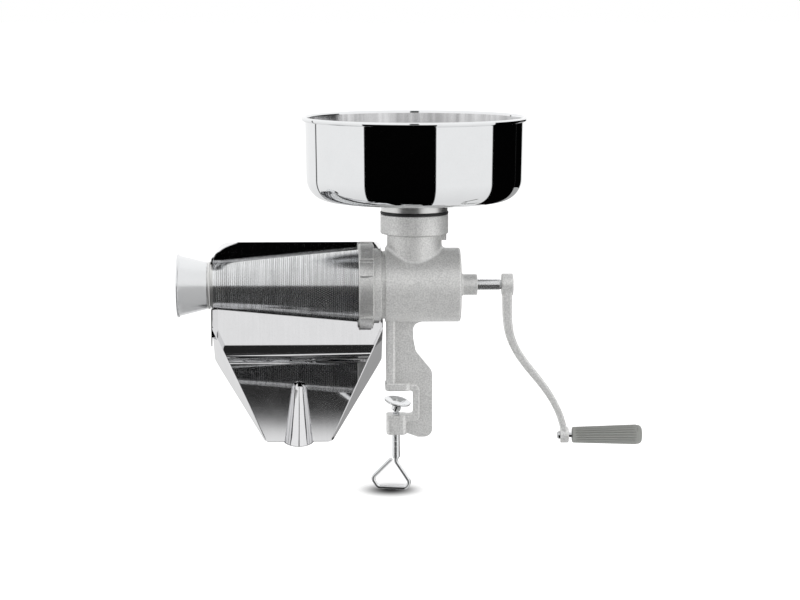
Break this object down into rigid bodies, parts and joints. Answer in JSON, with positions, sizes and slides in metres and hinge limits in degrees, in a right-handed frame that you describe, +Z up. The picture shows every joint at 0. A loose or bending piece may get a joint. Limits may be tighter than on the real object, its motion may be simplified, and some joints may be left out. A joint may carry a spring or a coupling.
{
  "type": "tomato strainer",
  "caption": "Hand-cranked tomato strainer with clamp leg, open bowl, perforated cone held by a ring nut, seed funnel and folded drip tray.",
  "frame": {"origin": "middle of the upper jaw's lower face, which rests on the table top, on the clamp screw's axis", "axes": "+X along the crank shaft towards the crank, +Z up, and the viewer of the picture is on the -Y side"},
  "size_m": [0.51, 0.245, 0.4125],
  "materials": {
    "cast_metal": "polished tinned casting",
    "bronze": "turned",
    "black_rubber": "satin",
    "mirror_steel": "mirror polished",
    "brushed_steel": "bright rolled sheet",
    "perforated_steel": "finely perforated sheet",
    "turned_steel": "turned",
    "plated_steel": "bright plated",
    "screw_plastic": "satin",
    "grip_plastic": "satin"
  },
  "bodies": {
    "casting": {"body_casting": "cast_metal", "rear_bush": "bronze", "shaft_seal": "black_rubber"},
    "hopper": {"hopper_bowl": "mirror_steel", "hopper_spigot": "mirror_steel", "spigot_gasket": "black_rubber"},
    "drive": {"drive_shaft": "turned_steel", "auger": "screw_plastic", "drive_pin": "turned_steel", "crank_arm": "cast_metal", "crank_set_screw": "turned_steel", "grip_spindle": "turned_steel"},
    "hand_grip": {"grip": "grip_plastic", "grip_cap": "grip_plastic"},
    "pad_carrier": {"pad_ball": "turned_steel"},
    "clamp_screw": {"clamp_screw": "plated_steel"},
    "clamp_pad": {"clamp_pad": "plated_steel"},
    "filter": {"cone_filter": "perforated_steel", "cone_flange": "brushed_steel", "cone_tip_band": "brushed_steel"},
    "ring_nut": {"ring_nut": "cast_metal"},
    "funnel": {"waste_funnel": "plated_steel", "funnel_socket": "plated_steel"},
    "tray": {"drip_tray": "brushed_steel", "tray_hanger": "brushed_steel"}
  },
  "joints": [
    {"name": "hopper_lift", "type": "slide", "parent": "casting", "child": "hopper", "axis": [0, 0, 1], "range_m": [0, 0.025]},
    {"name": "crank_spin", "type": "hinge", "parent": "casting", "child": "drive", "pos_m": [0, 0, 0.116], "axis": [1, 0, 0], "continuous": true},
    {"name": "grip_spin", "type": "hinge", "parent": "drive", "child": "hand_grip", "pos_m": [0.2, 0, -0.052], "axis": [1, 0, 0], "continuous": true},
    {"name": "clamp_travel", "type": "slide", "parent": "casting", "child": "pad_carrier", "axis": [0, 0, 1], "range_m": [-0.0033, 0.005]},
    {"name": "clamp_turn", "type": "hinge", "parent": "pad_carrier", "child": "clamp_screw", "pos_m": [0, 0, -0.05], "axis": [0, 0, 1], "range_deg": [-792, 1200]},
    {"name": "pad_tilt", "type": "hinge", "parent": "pad_carrier", "child": "clamp_pad", "pos_m": [0, 0, -0.021], "axis": [0.7071, 0.7071, 0], "range_deg": [-15, 0]},
    {"name": "filter_release", "type": "slide", "parent": "casting", "child": "filter", "axis": [-1, 0, 0], "range_m": [0, 0.006]},
    {"name": "ring_turn", "type": "hinge", "parent": "filter", "child": "ring_nut", "pos_m": [-0.033, 0, 0.116], "axis": [-1, 0, 0], "range_deg": [0, 720]},
    {"name": "funnel_pull", "type": "slide", "parent": "filter", "child": "funnel", "axis": [-1, 0, 0], "range_m": [0, 0.012]},
    {"name": "tray_pull", "type": "slide", "parent": "casting", "child": "tray", "axis": [0, 1, 0], "range_m": [0, 0.07]}
  ],
  "couplings": [
    {"joint": "clamp_turn", "follows": "clamp_travel", "rad_per_m": 4188.8},
    {"joint": "ring_turn", "follows": "filter_release", "rad_per_m": 2094.4}
  ]
}
